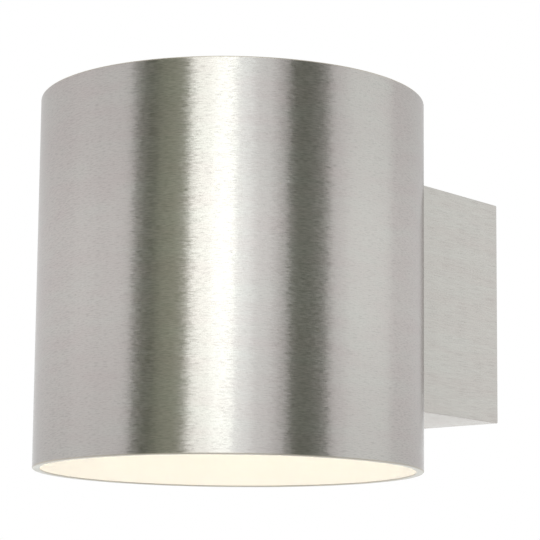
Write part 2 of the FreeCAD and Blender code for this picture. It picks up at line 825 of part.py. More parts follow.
os.makedirs("parts", exist_ok=True)
for name, make in parts.items():
    made = make()
    shape = Part.makeCompound(made) if isinstance(made, list) else made
    shape.exportStep("parts/" + name + ".step")
    print(name, len(shape.Solids), "solids, volume", round(shape.Volume, 1),
          "valid" if shape.isValid() else "NOT VALID")
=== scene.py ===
import bmesh
import bpy
import json
import math
from mathutils import Matrix, Vector


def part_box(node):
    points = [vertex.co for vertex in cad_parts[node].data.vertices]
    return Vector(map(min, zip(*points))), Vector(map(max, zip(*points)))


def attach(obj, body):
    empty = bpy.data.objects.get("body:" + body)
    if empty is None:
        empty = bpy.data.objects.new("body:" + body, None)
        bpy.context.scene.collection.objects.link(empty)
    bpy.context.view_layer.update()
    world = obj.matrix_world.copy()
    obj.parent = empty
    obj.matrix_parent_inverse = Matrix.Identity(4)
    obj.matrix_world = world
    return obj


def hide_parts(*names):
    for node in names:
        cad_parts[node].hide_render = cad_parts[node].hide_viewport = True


# A wall light: a short brushed tube, open above and below, in front of a square box.
# The capsule lamp across the middle of the tube is lit.
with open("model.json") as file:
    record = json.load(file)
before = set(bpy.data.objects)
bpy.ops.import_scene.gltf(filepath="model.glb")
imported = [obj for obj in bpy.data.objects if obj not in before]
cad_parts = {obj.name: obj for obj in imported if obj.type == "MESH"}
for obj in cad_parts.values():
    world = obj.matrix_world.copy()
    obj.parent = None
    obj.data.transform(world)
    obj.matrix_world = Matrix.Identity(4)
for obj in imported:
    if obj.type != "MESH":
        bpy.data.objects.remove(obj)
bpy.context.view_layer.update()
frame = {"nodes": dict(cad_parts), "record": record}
nodes = frame["nodes"]
mm = 0.001
intoWall = Vector((0, 1, 0))
intoRoom = Vector((0, -1, 0))
up = Vector((0, 0, 1))
print("frame loaded,", len(nodes), "nodes")

tubeLow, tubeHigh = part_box("tube_shade")
tubeRadius = min(tubeHigh.x, -tubeLow.x)
tubeHalf = tubeHigh.z
tubeAxis = Vector((0, (tubeLow.y + tubeHigh.y) / 2, 0))


# Node trees

def startMaterial(name, values):
    material = bpy.data.materials.new(name)
    material.use_nodes = True
    shader = material.node_tree.nodes["Principled BSDF"]
    for socket, value in values.items():
        shader.inputs[socket].default_value = value
    return material, material.node_tree, shader


def addNode(tree, kind, values=None, **settings):
    node = tree.nodes.new(kind)
    for setting, value in settings.items():
        setattr(node, setting, value)
    for socket, value in (values or {}).items():
        node.inputs[socket].default_value = value
    return node


# Noise of 0 to 1 in the part's own metres. The scale says how fast it changes along X, Y and Z.
def addNoise(tree, scale, detail=3.0, warp=0.0):
    place = addNode(tree, "ShaderNodeTexCoord")
    stretch = addNode(tree, "ShaderNodeMapping", {"Scale": scale})
    noise = addNode(tree, "ShaderNodeTexNoise", {"Scale": 1.0, "Detail": detail,
                                                 "Distortion": warp})
    tree.links.new(place.outputs["Object"], stretch.inputs["Vector"])
    tree.links.new(stretch.outputs["Vector"], noise.inputs["Vector"])
    return noise.outputs["Fac"]


def addEvenNoise(tree, rate, detail=3.0):
    return addNoise(tree, (rate,) * 3, detail)


# The noise seldom leaves the span of 0.3 to 0.7, so that is what a range starts from.
def addRange(tree, source, low, high, sourceLow=0.3, sourceHigh=0.7):
    spread = addNode(tree, "ShaderNodeMapRange", {"From Min": sourceLow, "From Max": sourceHigh,
                                                  "To Min": low, "To Max": high})
    tree.links.new(source, spread.inputs["Value"])
    return spread.outputs["Result"]


def addMath(tree, operation, first, second):
    node = addNode(tree, "ShaderNodeMath", operation=operation)
    for socket, value in zip(node.inputs, (first, second)):
        if isinstance(value, (int, float)):
            socket.default_value = value
        else:
            tree.links.new(value, socket)
    return node.outputs["Value"]


def addBlend(tree, factor, dark, light):
    blend = addNode(tree, "ShaderNodeMix", data_type="RGBA")
    for name, value in (("A", dark), ("B", light)):
        socket = [s for s in blend.inputs if s.name == name and s.type == "RGBA"][0]
        if isinstance(value, tuple):
            socket.default_value = (*value, 1)
        else:
            tree.links.new(value, socket)
    tree.links.new(factor, blend.inputs["Factor"])
    return [s for s in blend.outputs if s.type == "RGBA"][0]


def addBump(tree, shader, source, height):
    bump = addNode(tree, "ShaderNodeBump", {"Strength": 1.0, "Distance": height})
    tree.links.new(source, bump.inputs["Height"])
    tree.links.new(bump.outputs["Normal"], shader.inputs["Normal"])


def scaled(colour, share):
    return tuple(min(1.0, part * share) for part in colour)


grainDetail = 4.0
mottleSpan = (0.1, 0.4)        # where clouds times grain lies, for the roughness to follow


# A surface with slow clouds in its colour and roughness, and a fine grain in its relief.
def mottled(name, look):
    values = {"Metallic": look.get("metallic", 0.0), **look.get("sockets", {})}
    material, tree, shader = startMaterial(name, values)
    clouds = addEvenNoise(tree, look["cloud"])
    grain = addEvenNoise(tree, look["grain"], grainDetail)
    dark = scaled(look["colour"], 1 - look["shade"])
    light = scaled(look["colour"], 1 + look["shade"])
    colour = addBlend(tree, addRange(tree, clouds, 0, 1), dark, light)
    tree.links.new(colour, shader.inputs["Base Color"])
    mixed = addMath(tree, "MULTIPLY", clouds, grain)
    roughness = addRange(tree, mixed, *look["roughness"], *mottleSpan)
    tree.links.new(roughness, shader.inputs["Roughness"])
    addBump(tree, shader, grain, look["relief"])
    return material


# Metal with fine short brush lines that run along the tangent. Each line leans the surface a
# little to one side or the other, so the edges of reflections are ragged.
tubeLook = {
    "colours": ((0.560, 0.519, 0.502), (0.545, 0.526, 0.503)), "shade": 0.20,
    "roughness": (0.30, 0.48), "tint": 0.85, "across": 4600.0, "along": 650.0, "lean": 0.08,
    "patch": (60.0, 260.0), "patchShade": 0.02,
    # Painted shade: the tube's colour is darker towards both rims, most at the bottom, and
    # lightest across the middle.
    "paintedShade": ("Z", (-0.048, 0.89), (-0.012, 1.0), (0.008, 1.0), (0.030, 0.93), (0.048, 0.91)),
}
boxLook = {
    "colours": ((0.553, 0.518, 0.492), (0.541, 0.524, 0.496)), "shade": 0.17,
    "roughness": (0.29, 0.50), "tint": 1.0, "across": 3400.0, "along": 150.0, "lean": 0.12,
    "patch": (30.0, 260.0), "patchShade": 0.02,
    # Painted shade near the tube and painted light towards the wall, along Y.
    "paintedShade": ("Y", (-0.038, 0.96), (-0.020, 1.0), (0.0, 1.04)),
}
# What both have in common. The quarter turn draws reflections out across the brush lines.
brushWork = {"quarterTurn": 0.25, "detail": 2.0, "warp": 0.1, "leanRate": 0.9,
             "roughSpan": (0.42, 0.72)}


# Painted shade: the share of full brightness along one axis, in straight runs between the given
# places.
def addPaintedShade(tree, axis, *places):
    place = addNode(tree, "ShaderNodeTexCoord")
    parts = addNode(tree, "ShaderNodeSeparateXYZ")
    tree.links.new(place.outputs["Object"], parts.inputs["Vector"])
    share = places[0][1]
    for (start, low), (end, high) in zip(places, places[1:]):
        share = addMath(tree, "ADD", share,
                        addRange(tree, parts.outputs[axis], 0, high - low, start, end))
    return share


# The surface's own normal, pushed to and fro along the direction by the lines of the noise.
def addLean(tree, shader, direction, leans, lean):
    surface = addNode(tree, "ShaderNodeNewGeometry")
    push = addNode(tree, "ShaderNodeVectorMath", operation="SCALE")
    leaning = addNode(tree, "ShaderNodeVectorMath", operation="ADD")
    tree.links.new(direction, push.inputs[0])
    tree.links.new(addRange(tree, leans, -lean / 2, lean / 2, 0, 1), push.inputs["Scale"])
    tree.links.new(surface.outputs["Normal"], leaning.inputs[0])
    tree.links.new(push.outputs["Vector"], leaning.inputs[1])
    tree.links.new(leaning.outputs["Vector"], shader.inputs["Normal"])


def brushed(name, look, lengthways, tangent):
    fixed = {"Metallic": 1.0, "Anisotropic": 1.0,
             "Anisotropic Rotation": brushWork["quarterTurn"],
             "Specular Tint": (*scaled((1, 1, 1), look["tint"]), 1)}
    material, tree, shader = startMaterial(name, fixed)
    detail, warp = brushWork["detail"], brushWork["warp"]
    rates = [look["along"] if along else look["across"] for along in lengthways]
    lines = addNoise(tree, rates, detail, warp)
    leans = addNoise(tree, [rate * brushWork["leanRate"] for rate in rates], detail, warp)
    slow, fast = look["patch"]
    patches = addNoise(tree, [slow if along else fast for along in lengthways])
    shade = addMath(tree, "MULTIPLY",
                    addRange(tree, lines, 1 - look["shade"], 1 + look["shade"]),
                    addRange(tree, patches, 1 - look["patchShade"], 1 + look["patchShade"]))
    # Painted shade and painted light along one axis, multiplied into the colour.
    shade = addMath(tree, "MULTIPLY", shade, addPaintedShade(tree, *look["paintedShade"]))
    colour = addNode(tree, "ShaderNodeVectorMath", operation="SCALE")
    hue = addBlend(tree, addRange(tree, patches, 0, 1), *look["colours"])
    tree.links.new(hue, colour.inputs[0])
    tree.links.new(shade, colour.inputs["Scale"])
    tree.links.new(colour.outputs["Vector"], shader.inputs["Base Color"])
    roughness = addRange(tree, lines, *look["roughness"], *brushWork["roughSpan"])
    tree.links.new(roughness, shader.inputs["Roughness"])
    direction = addNode(tree, "ShaderNodeTangent", **tangent).outputs["Tangent"]
    tree.links.new(direction, shader.inputs["Tangent"])
    addLean(tree, shader, direction, leans, look["lean"])
    return material


# Mesh forms

sharpAngle = math.radians(35)


def finishForm(form, name, flipped=()):
    bmesh.ops.recalc_face_normals(form, faces=form.faces)
    if flipped:
        bmesh.ops.reverse_faces(form, faces=flipped)
    mesh = bpy.data.meshes.new(name)
    form.to_mesh(mesh)
    form.free()
    return mesh


def bridge(form, lower, upper):
    count = max(len(lower), len(upper))
    made = []
    for i in range(count):
        j = (i + 1) % count
        corners = [lower[i % len(lower)], lower[j % len(lower)],
                   upper[j % len(upper)], upper[i % len(upper)]]
        made.append(form.faces.new(list(dict.fromkeys(corners))))
    return made


# A turned form. The profile holds (radius, distance along the axis), where a radius may be
# a function of the turn, and 0 is a pole.
def addLathe(form, profile, origin, axis, steps, closed=False):
    side = axis.orthogonal().normalized()
    other = axis.cross(side)
    rings = []
    for radius, along in profile:
        centre = origin + axis * along
        if radius == 0:
            rings.append([form.verts.new(centre)])
            continue
        ring = []
        for i in range(steps):
            turn = 2 * math.pi * i / steps
            reach = radius(turn) if callable(radius) else radius
            outward = side * math.cos(turn) + other * math.sin(turn)
            ring.append(form.verts.new(centre + outward * reach))
        rings.append(ring)
    pairs = list(zip(rings, rings[1:]))
    if closed:
        pairs.append((rings[-1], rings[0]))
    for lower, upper in pairs:
        bridge(form, lower, upper)


def addBlock(form, low, high):
    made = bmesh.ops.create_cube(form, size=1.0)
    middle = (Vector(low) + Vector(high)) / 2
    size = Vector(high) - Vector(low)
    for vert in made["verts"]:
        vert.co = middle + Vector(a * b for a, b in zip(vert.co, size))


def rodMesh(radius, start, end, steps=48):
    form = bmesh.new()
    axis = (end - start).normalized()
    length = (end - start).length
    addLathe(form, [(0, 0), (radius, 0), (radius, length), (0, length)], start, axis, steps)
    return finishForm(form, "tool")


def addObject(name, data):
    thing = bpy.data.objects.new(name, data)
    bpy.context.scene.collection.objects.link(thing)
    return thing


# The mesh as it comes out of the modifiers that setUp adds to it.
def withModifiers(mesh, setUp):
    bench = addObject("bench", mesh)
    tools = setUp(bench) or []
    depsgraph = bpy.context.evaluated_depsgraph_get()
    made = bpy.data.meshes.new_from_object(bench.evaluated_get(depsgraph))
    for thing in [bench] + tools:
        bpy.data.objects.remove(thing)
    return made


def carved(mesh, cutters):
    def setUp(bench):
        tools = []
        for cutter in cutters:
            tool = addObject("tool", cutter)
            cut = bench.modifiers.new("cut", "BOOLEAN")
            cut.object = tool
            cut.operation = "DIFFERENCE"
            cut.solver = "EXACT"
            tools.append(tool)
        return tools
    return withModifiers(mesh, setUp)


def eased(mesh, width, steps=2):
    def setUp(bench):
        bevel = bench.modifiers.new("edges", "BEVEL")
        bevel.width = width
        bevel.segments = steps
        bevel.limit_method = "ANGLE"
        bevel.angle_limit = sharpAngle
    return withModifiers(mesh, setUp)


def joined(meshes):
    form = bmesh.new()
    for mesh in meshes:
        form.from_mesh(mesh)
    return finishForm(form, "joined")


def settle(piece, body, replaced):
    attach(piece, body)
    if replaced:
        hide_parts(*replaced)
    return piece


def addPiece(name, mesh, materials, body, replaced=()):
    for polygon in mesh.polygons:
        polygon.use_smooth = True
    mesh.set_sharp_from_angle(angle=sharpAngle)
    mesh.materials.clear()
    for material in materials:
        mesh.materials.append(material)
    piece = addObject(name, mesh)
    even = piece.modifiers.new("even normals", "WEIGHTED_NORMAL")
    even.keep_sharp = True
    return settle(piece, body, replaced)


def arc(centre, radius, start, end, steps):
    turns = [start + (end - start) * i / steps for i in range(steps + 1)]
    return [(centre[0] + radius * math.cos(turn), centre[1] + radius * math.sin(turn))
            for turn in turns]


# Finishes

brushedTube = brushed("brushedTube", tubeLook, (True, True, False),
                      {"direction_type": "RADIAL", "axis": "Z"})
brushedBox = brushed("brushedBox", boxLook, (False, True, False),
                     {"direction_type": "UV_MAP", "uv_map": "brush"})
turnedRim = mottled("turnedRim", {
    "colour": (0.48, 0.455, 0.40), "shade": 0.06, "metallic": 1.0, "roughness": (0.30, 0.42),
    "cloud": 160.0, "grain": 5200.0, "relief": 0.003 * mm})
rimEdge = mottled("rimEdge", {
    "colour": (0.50, 0.46, 0.40), "shade": 0.10, "metallic": 1.0, "roughness": (0.35, 0.50),
    "cloud": 160.0, "grain": 5200.0, "relief": 0.003 * mm})
whitePaint = mottled("whitePaint", {
    "colour": (0.88, 0.87, 0.84), "shade": 0.015, "roughness": (0.78, 0.90),
    "cloud": 60.0, "grain": 2600.0, "relief": 0.012 * mm,
    "sockets": {"Specular IOR Level": 0.2}})

finishes = {
    "plated_steel": mottled("platedSteel", {
        "colour": (0.62, 0.62, 0.61), "shade": 0.07, "metallic": 1.0, "roughness": (0.22, 0.36),
        "cloud": 420.0, "grain": 6500.0, "relief": 0.003 * mm}),
    "zinc_sheet": mottled("zincSheet", {
        "colour": (0.56, 0.57, 0.58), "shade": 0.12, "metallic": 1.0, "roughness": (0.30, 0.52),
        "cloud": 260.0, "grain": 3800.0, "relief": 0.006 * mm}),
    "grey_rubber": mottled("greyRubber", {
        "colour": (0.16, 0.16, 0.165), "shade": 0.10, "roughness": (0.55, 0.72),
        "cloud": 300.0, "grain": 5200.0, "relief": 0.010 * mm}),
    "white_rubber": mottled("whiteRubber", {
        "colour": (0.74, 0.73, 0.70), "shade": 0.04, "roughness": (0.42, 0.58),
        "cloud": 300.0, "grain": 5200.0, "relief": 0.008 * mm}),
    "tinned_brass": mottled("tinnedBrass", {
        "colour": (0.66, 0.65, 0.62), "shade": 0.07, "metallic": 1.0, "roughness": (0.28, 0.42),
        "cloud": 500.0, "grain": 6500.0, "relief": 0.004 * mm}),
    "brass_plated": mottled("brassPlated", {
        "colour": (0.78, 0.60, 0.30), "shade": 0.08, "metallic": 1.0, "roughness": (0.22, 0.36),
        "cloud": 500.0, "grain": 6500.0, "relief": 0.003 * mm}),
    "brass": mottled("brass", {
        "colour": (0.76, 0.58, 0.30), "shade": 0.08, "metallic": 1.0, "roughness": (0.26, 0.40),
        "cloud": 500.0, "grain": 6500.0, "relief": 0.003 * mm}),
    "white_plastic": mottled("whitePlastic", {
        "colour": (0.78, 0.77, 0.73), "shade": 0.025, "roughness": (0.34, 0.46),
        "cloud": 160.0, "grain": 3200.0, "relief": 0.005 * mm,
        "sockets": {"Subsurface Weight": 0.15, "Subsurface Scale": 1.5 * mm}}),
    "spring_metal": mottled("springMetal", {
        "colour": (0.60, 0.57, 0.52), "shade": 0.08, "metallic": 1.0, "roughness": (0.24, 0.38),
        "cloud": 500.0, "grain": 6500.0, "relief": 0.003 * mm}),
    "brown_insulation": mottled("brownInsulation", {
        "colour": (0.17, 0.075, 0.035), "shade": 0.10, "roughness": (0.32, 0.44),
        "cloud": 260.0, "grain": 4200.0, "relief": 0.004 * mm}),
    "blue_insulation": mottled("blueInsulation", {
        "colour": (0.035, 0.16, 0.47), "shade": 0.10, "roughness": (0.32, 0.44),
        "cloud": 260.0, "grain": 4200.0, "relief": 0.004 * mm}),
    "lamp_metal": mottled("lampMetal", {
        "colour": (0.52, 0.51, 0.50), "shade": 0.10, "metallic": 1.0, "roughness": (0.26, 0.42),
        "cloud": 600.0, "grain": 7000.0, "relief": 0.003 * mm}),
}

stripes = {
    "green": (0.05, 0.26, 0.07), "yellow": (0.78, 0.66, 0.05), "yellowSide": (0.62, -0.62, 0.48),
    "edge": (0.12, 0.18), "grain": 4200.0, "roughness": (0.32, 0.46), "relief": 0.004 * mm,
}


# Two colours that run along the wire, on its opposite sides.
def stripedWire(look):
    material, tree, shader = startMaterial("stripedInsulation", {})
    place = addNode(tree, "ShaderNodeTexCoord")
    facing = addNode(tree, "ShaderNodeVectorMath", operation="DOT_PRODUCT")
    facing.inputs[1].default_value = look["yellowSide"]
    tree.links.new(place.outputs["Normal"], facing.inputs[0])
    edge = addRange(tree, facing.outputs["Value"], 0, 1, *look["edge"])
    tree.links.new(addBlend(tree, edge, look["green"], look["yellow"]),
                   shader.inputs["Base Color"])
    grain = addEvenNoise(tree, look["grain"])
    tree.links.new(addRange(tree, grain, *look["roughness"]), shader.inputs["Roughness"])
    addBump(tree, shader, grain, look["relief"])
    return material


sleeve = {
    "pitch": 0.45 * mm, "colours": ((0.56, 0.54, 0.49), (0.80, 0.78, 0.72)), "sheen": 0.3,
    "roughness": (0.6, 0.8), "relief": 0.03 * mm,
}


# Glass-fibre sleeve: threads that cross on the slant.
def wovenSleeve(look):
    material, tree, shader = startMaterial("wovenSleeve", {"Sheen Weight": look["sheen"]})
    place = addNode(tree, "ShaderNodeTexCoord")
    parts = addNode(tree, "ShaderNodeSeparateXYZ")
    tree.links.new(place.outputs["Object"], parts.inputs["Vector"])
    crossing = []
    for direction in (1, -1):
        slant = addMath(tree, "ADD", addMath(tree, "MULTIPLY", parts.outputs["Z"], direction),
                        parts.outputs["Y"])
        turns = addMath(tree, "MULTIPLY", slant, 2 * math.pi / look["pitch"])
        crossing.append(addMath(tree, "SINE", turns, 0))
    weave = addMath(tree, "MULTIPLY", *crossing)
    shade = addRange(tree, weave, 0, 1, -1, 1)
    tree.links.new(addBlend(tree, shade, *look["colours"]), shader.inputs["Base Color"])
    tree.links.new(addRange(tree, weave, *look["roughness"], -1, 1), shader.inputs["Roughness"])
    addBump(tree, shader, weave, look["relief"])
    return material


ceramic = {
    "coat": {"Coat Weight": 0.25, "Coat Roughness": 0.25},
    "colours": ((0.78, 0.76, 0.70), (0.85, 0.83, 0.78)), "cloud": 110.0, "grain": 2600.0,
    "specks": 3400.0, "speckDetail": 1.0, "speckSpan": (0.73, 0.78), "speckShare": 0.55,
    "speckColour": (0.30, 0.27, 0.23), "roughness": (0.40, 0.55), "relief": 0.010 * mm,
}


# Steatite with a thin glaze and a few dark specks.
def speckledCeramic(look):
    material, tree, shader = startMaterial("ceramic", look["coat"])
    clouds = addEvenNoise(tree, look["cloud"])
    grain = addEvenNoise(tree, look["grain"], grainDetail)
    base = addBlend(tree, addRange(tree, clouds, 0, 1), *look["colours"])
    specks = addRange(tree, addEvenNoise(tree, look["specks"], look["speckDetail"]),
                      0, look["speckShare"], *look["speckSpan"])
    tree.links.new(addBlend(tree, specks, base, look["speckColour"]), shader.inputs["Base Color"])
    tree.links.new(addRange(tree, grain, *look["roughness"]), shader.inputs["Roughness"])
    addBump(tree, shader, grain, look["relief"])
    return material


glass = {
    "sockets": {"IOR": 1.46, "Transmission Weight": 1.0},
    "ripples": (260.0, 60.0, 260.0), "rippleDetail": 1.0,
    "tints": ((0.96, 0.975, 0.98), (1.0, 1.0, 1.0)), "roughness": (0.0, 0.03),
    "relief": 0.02 * mm,
}


def clearGlass(look):
    material, tree, shader = startMaterial("clearGlass", look["sockets"])
    ripples = addNoise(tree, look["ripples"], look["rippleDetail"])
    tint = addBlend(tree, addRange(tree, ripples, 0, 1), *look["tints"])
    tree.links.new(tint, shader.inputs["Base Color"])
    tree.links.new(addRange(tree, ripples, *look["roughness"]), shader.inputs["Roughness"])
    addBump(tree, shader, ripples, look["relief"])
    return material


hotWire = {
    "sockets": {"Metallic": 1.0, "Emission Strength": 14.0}, "cloud": 500.0,
    "glow": ((1.0, 0.62, 0.26), (1.0, 0.78, 0.44)),
    "metal": ((0.30, 0.29, 0.28), (0.40, 0.39, 0.37)), "roughness": (0.35, 0.5),
}


def glowingCoil(look):
    material, tree, shader = startMaterial("glowingCoil", look["sockets"])
    heat = addRange(tree, addEvenNoise(tree, look["cloud"]), 0, 1)
    tree.links.new(addBlend(tree, heat, *look["glow"]), shader.inputs["Emission Color"])
    tree.links.new(addBlend(tree, heat, *look["metal"]), shader.inputs["Base Color"])
    tree.links.new(addRange(tree, heat, *look["roughness"], 0, 1), shader.inputs["Roughness"])
    return material


finishes.update({
    "green_yellow_insulation": stripedWire(stripes),
    "woven_sleeve": wovenSleeve(sleeve),
    "ceramic": speckledCeramic(ceramic),
    "clear_glass": clearGlass(glass),
    "filament_wire": glowingCoil(hotWire),
})

for part in frame["record"]["subparts"]:
    if part["material_slot"] in finishes:
        nodes[part["node"]].material_slots[0].material = finishes[part["material_slot"]]
print("finishes made,", len(bpy.data.materials), "materials")


# The tube: brushed outside, turned rims, white bore. How far up or down a face looks says
# whether it belongs to a rim, to the rim's rounding or to a wall.

tubeShape = {
    "wall": 2 * mm, "rimRound": 0.3 * mm, "roundSteps": 3, "steps": 256, "rows": 12,
    "screwHole": 2.25 * mm, "wireHole": 6.2 * mm, "screwHeight": 22 * mm,
    "level": 0.95, "upright": 0.05, "boreSlack": 0.01 * mm,
}


def seatHoles(sizes):
    screwHole, screwHeight = sizes["screwHole"], sizes["screwHeight"]
    places = [(screwHole, screwHeight), (screwHole, -screwHeight), (sizes["wireHole"], 0)]
    return [rodMesh(radius, tubeAxis + up * height, up * height) for radius, height in places]


def makeTube(sizes):
    outer, inner = tubeRadius, tubeRadius - sizes["wall"]
    ease, steps = sizes["rimRound"], sizes["roundSteps"]
    reach = tubeHalf - ease
    rows = [reach * (2 * i / sizes["rows"] - 1) for i in range(sizes["rows"] + 1)]
    outside = [(outer, z) for z in rows]
    inside = [(inner, -z) for z in rows]
    topOuter = arc((outer - ease, reach), ease, 0, math.pi / 2, steps)[1:]
    topInner = arc((inner + ease, reach), ease, math.pi / 2, math.pi, steps)[:-1]
    lowInner = arc((inner + ease, -reach), ease, math.pi, 1.5 * math.pi, steps)[1:]
    lowOuter = arc((outer - ease, -reach), ease, 1.5 * math.pi, 2 * math.pi, steps)[:-1]
    profile = outside + topOuter + topInner + inside + lowInner + lowOuter
    form = bmesh.new()
    addLathe(form, profile, tubeAxis, up, sizes["steps"], closed=True)
    mesh = carved(finishForm(form, "tube"), seatHoles(sizes))
    materials = [brushedTube, turnedRim, rimEdge, whitePaint]
    addPiece("tubeShade", mesh, materials, "fitting", ["tube_shade"])
    for polygon in mesh.polygons:
        reach = (polygon.center - tubeAxis) * Vector((1, 1, 0))
        if abs(polygon.normal.z) > sizes["level"]:
            finish = turnedRim
        elif abs(polygon.normal.z) > sizes["upright"]:
            finish = rimEdge
        else:
            finish = whitePaint if reach.length < inner + sizes["boreSlack"] else brushedTube
        polygon.material_index = materials.index(finish)


makeTube(tubeShape)
print("tube made")


# The box behind the tube, with its hollow front wall. Its hollow runs out past the open back.

boxShape = {
    "wall": 2 * mm, "saddleWall": 2.5 * mm, "saddleGap": 0.02 * mm, "pastBack": 1 * mm,
    "corner": 0.35 * mm, "cornerSteps": 4, "edge": 0.05 * mm, "steps": 60,
    "screwHole": 2.25 * mm, "screwFromWall": 10 * mm,
}


# A block whose front follows a cylinder round the tube's axis. Its long edges may be round.
def saddleBlock(halfX, halfZ, radius, back, sizes, corner=0):
    steps = sizes["steps"]
    outline = [((halfX - corner) * (2 * i / steps - 1), halfZ) for i in range(steps + 1)]
    if corner:
        rounding = arc((halfX - corner, halfZ - corner), corner, math.pi / 2, 0,
                       sizes["cornerSteps"])[1:]
        outline = [(-x, z) for x, z in reversed(rounding)] + outline + rounding
    form = bmesh.new()
    columns = []
    for x, z in outline:
        front = tubeAxis.y + math.sqrt(radius ** 2 - x ** 2)
        columns.append([form.verts.new(spot) for spot in
                        ((x, front, -z), (x, front, z), (x, back, z), (x, back, -z))])
    for near, far in zip(columns, columns[1:]):
        bridge(form, near, far)
    for end in (columns[0], columns[-1]):
        form.faces.new(end)
    return form


def layBrushLines(mesh):
    lines = mesh.uv_layers.new(name="brush")
    for polygon in mesh.polygons:
        sideways = abs(polygon.normal.x) > abs(polygon.normal.z)
        for loop in polygon.loop_indices:
            spot = mesh.vertices[mesh.loops[loop].vertex_index].co
            lines.data[loop].uv = (spot.y, spot.z if sideways else spot.x)


def makeBox(sizes):
    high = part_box("wall_box")[1]
    wall, seat = sizes["wall"], tubeRadius + sizes["saddleGap"]
    outside = saddleBlock(high.x, high.z, seat, 0, sizes, sizes["corner"])
    inside = saddleBlock(high.x - wall, high.z - wall, seat + sizes["saddleWall"],
                         sizes["pastBack"], sizes)
    screwLine, reach = intoRoom * sizes["screwFromWall"], up * 2 * high.z
    screwHoles = rodMesh(sizes["screwHole"], screwLine - reach, screwLine + reach)
    cutters = [finishForm(inside, "inside"), screwHoles] + seatHoles(tubeShape)
    mesh = carved(eased(finishForm(outside, "box"), sizes["edge"]), cutters)
    layBrushLines(mesh)
    addPiece("wallBox", mesh, [brushedBox], "fitting", ["wall_box"])


makeBox(boxShape)
print("box made")


# Screws: a pan head with a cross recess, and a thread down the shank

screwKinds = {
    "m4": {"shank": 2.0 * mm, "head": 3.9 * mm, "height": 2.4 * mm, "pitch": 0.7 * mm},
    "m3": {"shank": 1.5 * mm, "head": 2.75 * mm, "height": 2.0 * mm, "pitch": 0.5 * mm},
    "m25": {"shank": 1.25 * mm, "head": 2.3 * mm, "height": 1.7 * mm, "pitch": 0.45 * mm},
}
screwLengths = {
    "box_screws": 6 * mm, "tube_screws": 12 * mm, "holder_screws": 6 * mm,
    "block_screws": 4.2 * mm,
}
# Shares of the head's radius and height, and of the thread's pitch and the shank's radius.
screwShape = {
    "top": ((0.35, 0.995), (0.62, 0.95)), "crown": 0.45, "brim": 0.25, "crownTop": 0.86,
    "crownTurn": 0.78, "crownSteps": 6, "underHead": 0.08 * mm,
    "threadDepth": 0.32, "rowsPerTurn": 6, "taper": 0.3, "steps": 32,
    "recess": ((1.0, 1.05), (0.45, 0.42)), "recessReach": 0.55, "recessHalf": 0.12,
}


def threadRadius(kind, along, share):
    depth = screwShape["threadDepth"] * kind["pitch"] * share

    def radius(turn):
        phase = (along / kind["pitch"] - turn / (2 * math.pi)) % 1
        return kind["shank"] - depth * (1 - abs(2 * phase - 1))
    return radius


def crossRecess(seat, direction, kind):
    across = direction.orthogonal().normalized()
    cutters = []
    for lengthways in (across, direction.cross(across)):
        sideways = direction.cross(lengthways)
        form = bmesh.new()
        rings = []
        for share, depth in screwShape["recess"]:
            centre = seat - direction * kind["height"] * depth
            reach = lengthways * kind["head"] * screwShape["recessReach"] * share
            half = sideways * kind["head"] * screwShape["recessHalf"]
            corners = (centre + reach + half, centre - reach + half,
                       centre - reach - half, centre + reach - half)
            rings.append([form.verts.new(corner) for corner in corners])
        bridge(form, *rings)
        for ring in rings:
            form.faces.new(ring)
        cutters.append(finishForm(form, "recess"))
    return cutters


def screwMesh(seat, direction, kind, length):
    shank, head, height, pitch = kind["shank"], kind["head"], kind["height"], kind["pitch"]
    crown = screwShape["crown"] * height
    brim = crown * screwShape["brim"]
    rise = height * screwShape["crownTop"] - brim
    profile = [(0, -height)]
    profile += [(head * across, -height * deep) for across, deep in screwShape["top"]]
    steps = screwShape["crownSteps"]
    for i in range(steps + 1):
        turn = math.pi / 2 * (1 - i / steps) * screwShape["crownTurn"]
        profile.append((head - crown * (1 - math.cos(turn)), -brim - rise * math.sin(turn)))
    profile += [(head - screwShape["underHead"], 0), (shank, 0)]
    rows = int(length / pitch * screwShape["rowsPerTurn"])
    taper = shank * screwShape["taper"]
    for i in range(1, rows + 1):
        along = (length - taper) * i / rows
        share = min(1.0, along / pitch, (length - taper - along) / pitch)
        profile.append((threadRadius(kind, along, max(0.0, share)), along))
    profile += [(shank - taper, length), (0, length)]
    form = bmesh.new()
    addLathe(form, profile, seat, direction, screwShape["steps"])
    return carved(finishForm(form, "screw"), crossRecess(seat, direction, kind))


